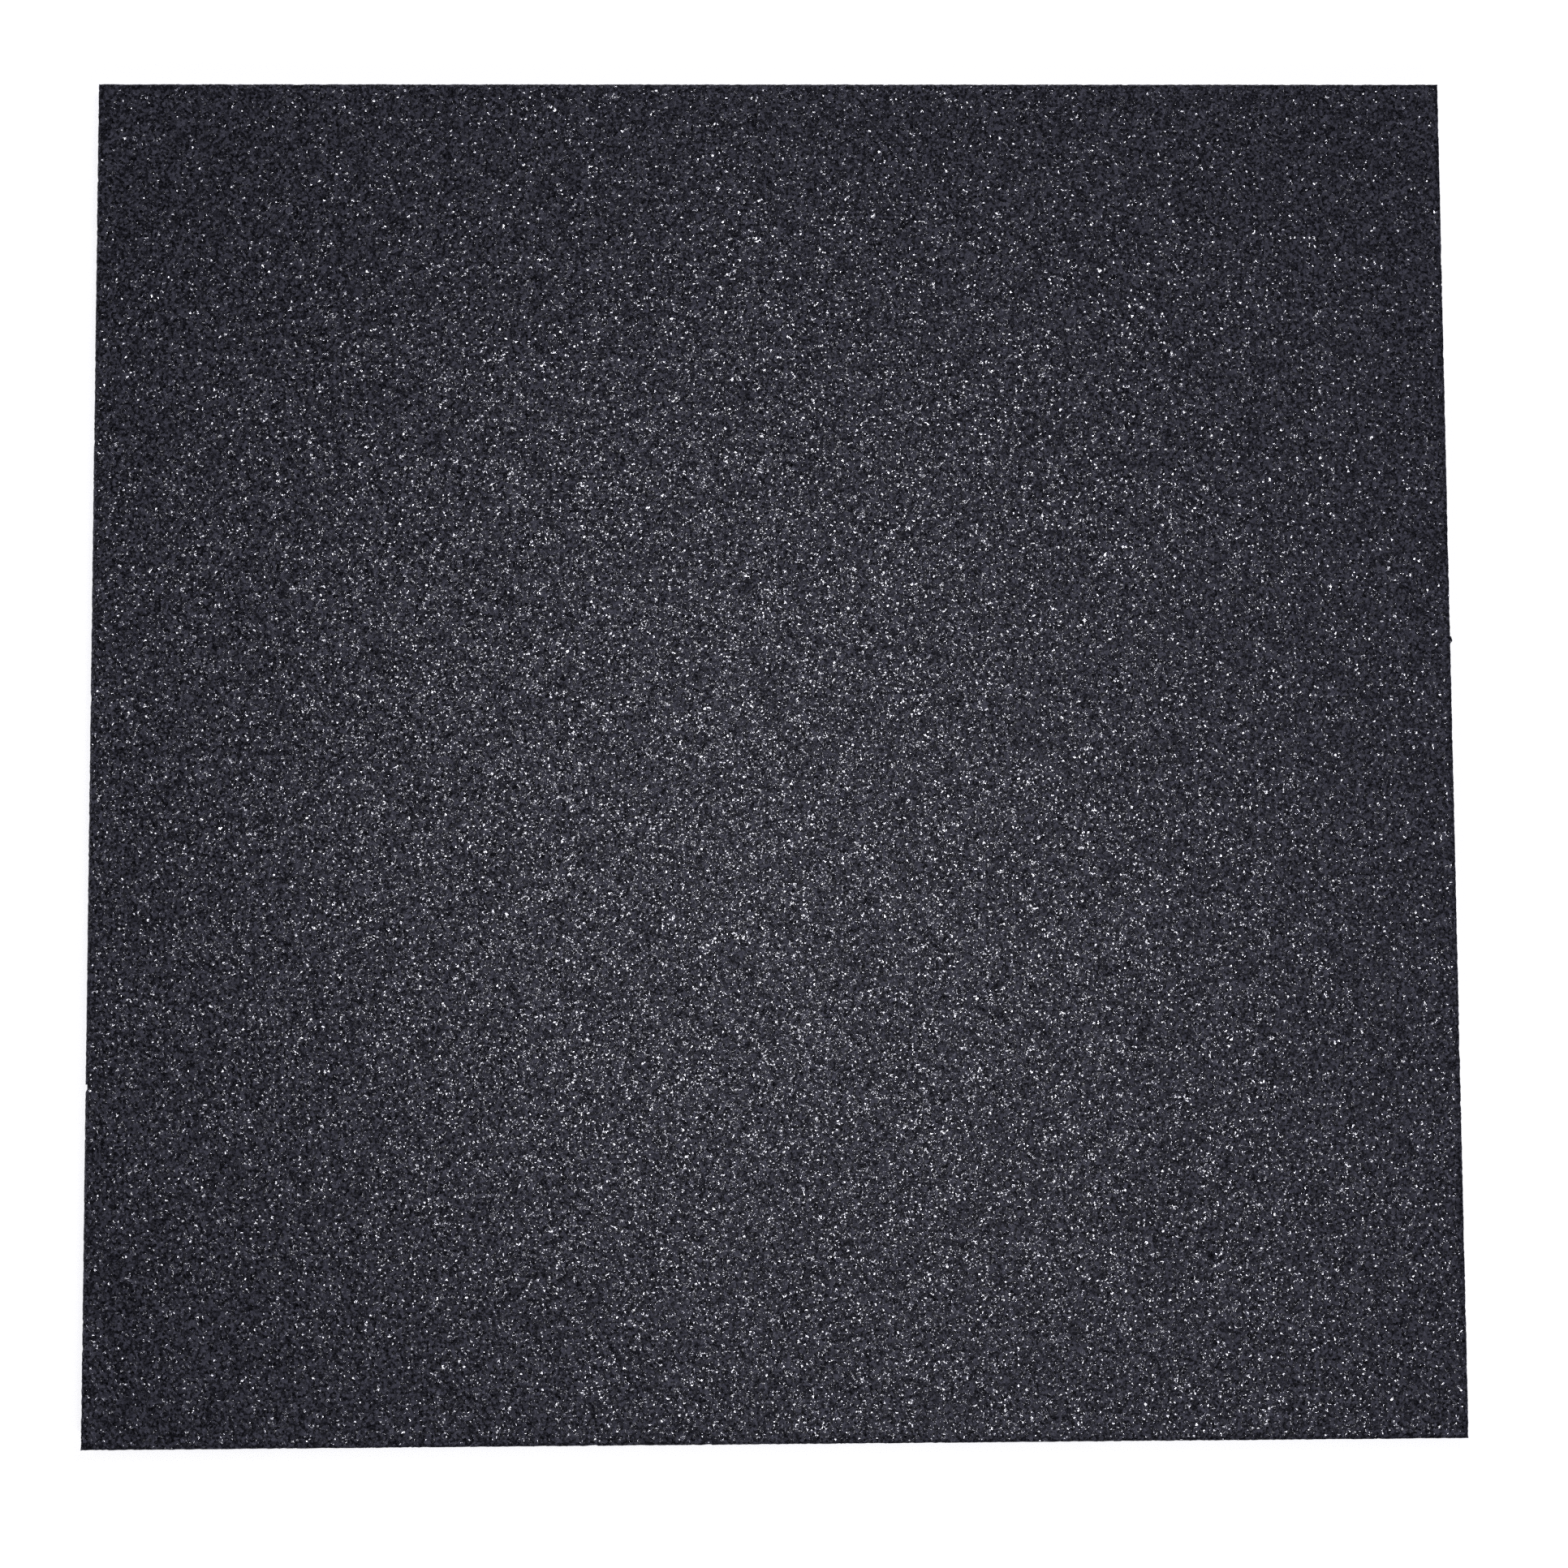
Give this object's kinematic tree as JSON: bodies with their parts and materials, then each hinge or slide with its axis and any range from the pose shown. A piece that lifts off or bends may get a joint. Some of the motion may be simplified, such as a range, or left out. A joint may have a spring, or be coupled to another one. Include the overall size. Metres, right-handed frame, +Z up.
{
  "type": "rubber gym floor tile",
  "caption": "Square black floor tile pressed from rubber crumb, flat on both faces with a rounded upper edge, laid edge to edge to cover a gym floor.",
  "frame": {"origin": "middle of the underside, where the tile lies on the floor", "axes": "+Z up out of the walked-on face, +X and +Y square to two neighbouring sides"},
  "size_m": [0.5, 0.5, 0.02],
  "materials": {
    "crumb_rubber": "pressed black rubber crumb, nearly matt, fine grain with small bright glints from the binder on the grains"
  },
  "bodies": {
    "root": {"tile": "crumb_rubber"}
  },
  "joints": []
}
